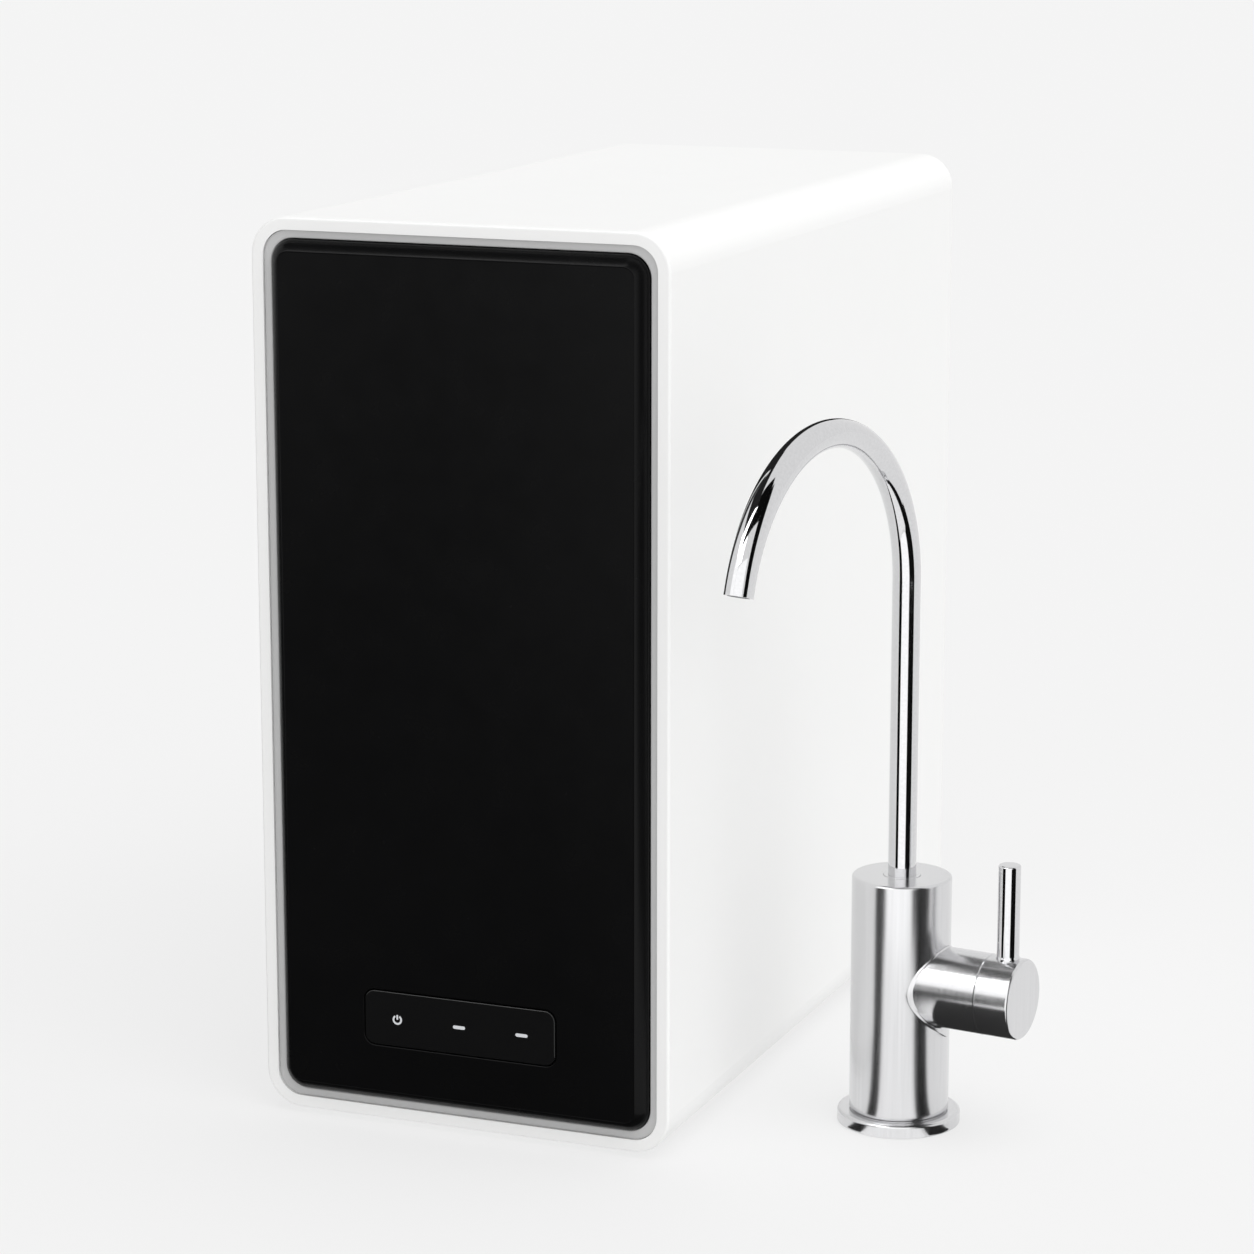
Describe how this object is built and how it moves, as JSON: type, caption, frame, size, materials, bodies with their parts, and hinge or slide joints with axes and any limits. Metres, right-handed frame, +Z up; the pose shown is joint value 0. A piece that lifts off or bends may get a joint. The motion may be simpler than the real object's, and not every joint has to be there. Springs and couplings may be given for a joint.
{
  "type": "reverse osmosis system",
  "caption": "Tankless reverse osmosis water purifier: upright white housing with a black pull-off front cover and touch panel, with a chrome goose-neck dispensing faucet.",
  "frame": {"origin": "centre of the outline of the whole set, on the surface that the housing and the faucet stand on", "axes": "+X from the housing to the faucet, +Y from the front cover to the rear panel, +Z up"},
  "size_m": [0.3128, 0.4286, 0.383],
  "materials": {
    "shell_white": "smooth white moulded plastic with a soft gloss",
    "frame_grey": "matt grey",
    "cover_black": "satin black",
    "lens_black": "gloss black",
    "light_white": "milky light guide",
    "rubber_black": "matt rubber",
    "board_green": "solder mask",
    "screw_steel": "zinc plated",
    "chassis_grey": "matt",
    "manifold_ivory": "matt",
    "filter_white": "gloss",
    "cap_blue": "matt",
    "cap_grey": "matt",
    "carbon_black": "porous",
    "membrane_cream": "wound sheet",
    "pump_black": "matt",
    "motor_grey": "zinc grey",
    "magnet_dark": "sintered",
    "rotor_copper": "enamelled copper",
    "hose_white": "milky hose",
    "coil_blue": "moulded coil",
    "collet_blue": "matt",
    "collet_white": "matt",
    "collet_red": "matt",
    "chrome": "polished",
    "chrome_satin": "polished, soft reflections",
    "brass": "turned",
    "ceramic": "lapped ceramic",
    "bush_grey": "matt"
  },
  "bodies": {
    "housing": {"outer_shell": "shell_white", "front_frame": "frame_grey", "cover_grommets": "rubber_black", "control_lens": "lens_black", "control_housing": "lens_black", "control_board": "board_green", "power_light": "light_white", "filter_lights": "light_white", "rear_panel": "shell_white", "case_screws": "screw_steel", "feet": "rubber_black", "chassis": "chassis_grey", "manifold": "manifold_ivory", "pump_head": "pump_black", "pump_motor_can": "motor_grey", "pump_magnets": "magnet_dark", "pump_bearings": "screw_steel", "pump_bracket": "screw_steel", "pump_mounts": "rubber_black", "suction_hose": "hose_white", "pressure_hose": "hose_white", "valve_bodies": "manifold_ivory", "valve_coils": "coil_blue", "pressure_switch": "pump_black", "main_board": "board_green", "port_fittings": "filter_white", "port_seals": "rubber_black", "power_inlet": "pump_black", "faucet_gasket": "rubber_black", "faucet_flange": "chrome", "faucet_body": "chrome_satin", "valve_sleeve": "chrome_satin", "valve_cartridge": "brass", "fixed_disc": "ceramic", "spout_bush": "bush_grey"},
    "front_cover": {"front_cover": "cover_black", "cover_studs": "screw_steel"},
    "composite_filter": {"composite_canister": "filter_white", "composite_cap": "cap_blue", "carbon_block": "carbon_black", "composite_seals": "rubber_black"},
    "membrane_filter": {"membrane_canister": "filter_white", "membrane_cap": "cap_grey", "membrane_element": "membrane_cream", "permeate_tube": "filter_white", "membrane_seals": "rubber_black"},
    "pump_rotor": {"pump_rotor": "rotor_copper"},
    "feed_collet": {"feed_collet": "collet_blue"},
    "pure_collet": {"pure_collet": "collet_white"},
    "drain_collet": {"drain_collet": "collet_red"},
    "spout": {"spout": "chrome", "spout_seals": "rubber_black", "outlet_straightener": "bush_grey"},
    "handle": {"handle_cap": "chrome_satin", "lever": "chrome", "valve_stem": "brass", "turning_disc": "ceramic"}
  },
  "joints": [
    {"name": "cover_pull", "type": "slide", "parent": "housing", "child": "front_cover", "axis": [0, -1, 0], "range_m": [0, 0.08]},
    {"name": "composite_twist", "type": "hinge", "parent": "housing", "child": "composite_filter", "pos_m": [-0.08446, -0.06071, 0.31117], "axis": [0, -1, 0], "range_deg": [0, 90]},
    {"name": "membrane_twist", "type": "hinge", "parent": "housing", "child": "membrane_filter", "pos_m": [-0.08446, -0.06071, 0.18633], "axis": [0, -1, 0], "range_deg": [0, 90]},
    {"name": "pump_spin", "type": "hinge", "parent": "housing", "child": "pump_rotor", "pos_m": [-0.08846, 0.00628, 0.0715], "axis": [0, 1, 0], "continuous": true},
    {"name": "feed_release", "type": "slide", "parent": "housing", "child": "feed_collet", "axis": [0, -1, 0], "range_m": [0, 0.0015]},
    {"name": "pure_release", "type": "slide", "parent": "housing", "child": "pure_collet", "axis": [0, -1, 0], "range_m": [0, 0.0015]},
    {"name": "drain_release", "type": "slide", "parent": "housing", "child": "drain_collet", "axis": [0, -1, 0], "range_m": [0, 0.0015]},
    {"name": "spout_swivel", "type": "hinge", "parent": "housing", "child": "spout", "pos_m": [0.09804, -0.07272, 0.234], "axis": [0, 0, 1], "range_deg": [-15, 205]},
    {"name": "handle_turn", "type": "hinge", "parent": "housing", "child": "handle", "pos_m": [0.09804, -0.07272, 0.062], "axis": [0.9903, -0.1392, 0], "range_deg": [0, 90]}
  ]
}
